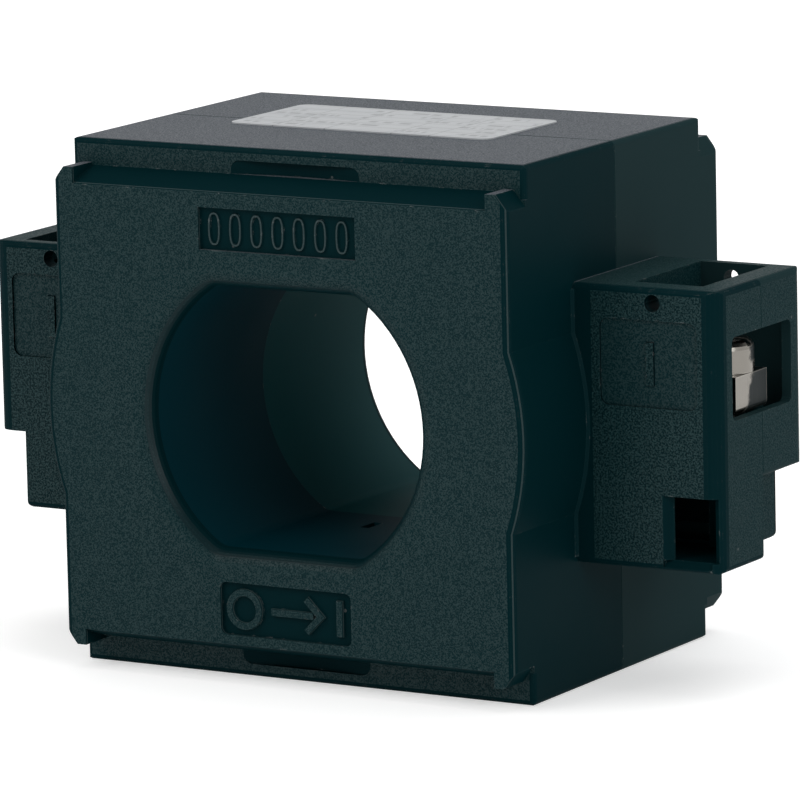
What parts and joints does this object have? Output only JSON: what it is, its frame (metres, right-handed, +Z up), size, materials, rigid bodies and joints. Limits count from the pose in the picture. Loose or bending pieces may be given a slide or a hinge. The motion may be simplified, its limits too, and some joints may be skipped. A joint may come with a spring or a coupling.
{
  "type": "current transformer",
  "caption": "Window-type current transformer: a moulded split housing round a ring core, with a round window for the conductor and a screw terminal box on each side.",
  "frame": {"origin": "on the resting face, under the middle of the window, on the parting line", "axes": "+X to the right along the front face, +Y along the conductor towards the back, +Z up"},
  "size_m": [0.123, 0.0632, 0.0782],
  "materials": {
    "housing": "fine moulded grain",
    "label": "printed film",
    "core_steel": "wound strip",
    "cap": "moulded",
    "winding": "enamelled copper wire",
    "tape": "polyester film",
    "foam": "soft foam",
    "wire": "tinned copper",
    "sleeve": "silicone tube",
    "terminal": "nickel plate",
    "screw": "nickel plate"
  },
  "bodies": {
    "housing": {"front_shell": "housing", "rear_shell": "housing", "rating_label": "label", "ring_core": "core_steel", "front_core_cap": "cap", "rear_core_cap": "cap", "secondary_winding": "winding", "winding_tape": "tape", "front_pad": "foam", "rear_pad": "foam", "right_lead": "wire", "left_lead": "wire", "right_lead_sleeve": "sleeve", "left_lead_sleeve": "sleeve", "right_terminal_plate": "terminal", "left_terminal_plate": "terminal"},
    "right_clamp": {"right_clamp": "terminal"},
    "right_screw": {"right_screw": "screw"},
    "left_clamp": {"left_clamp": "terminal"},
    "left_screw": {"left_screw": "screw"}
  },
  "joints": [
    {"name": "right_clamp_slide", "type": "slide", "parent": "housing", "child": "right_clamp", "axis": [0, 0, 1], "range_m": [0, 0.003]},
    {"name": "right_screw_turn", "type": "hinge", "parent": "right_clamp", "child": "right_screw", "pos_m": [0.055, 0, 0.039], "axis": [0, 0, 1], "range_deg": [0, 1351]},
    {"name": "left_clamp_slide", "type": "slide", "parent": "housing", "child": "left_clamp", "axis": [0, 0, 1], "range_m": [0, 0.003]},
    {"name": "left_screw_turn", "type": "hinge", "parent": "left_clamp", "child": "left_screw", "pos_m": [-0.055, 0, 0.039], "axis": [0, 0, 1], "range_deg": [0, 1351]}
  ],
  "couplings": [
    {"joint": "right_screw_turn", "follows": "right_clamp_slide", "rad_per_m": 7854},
    {"joint": "left_screw_turn", "follows": "left_clamp_slide", "rad_per_m": 7854}
  ]
}
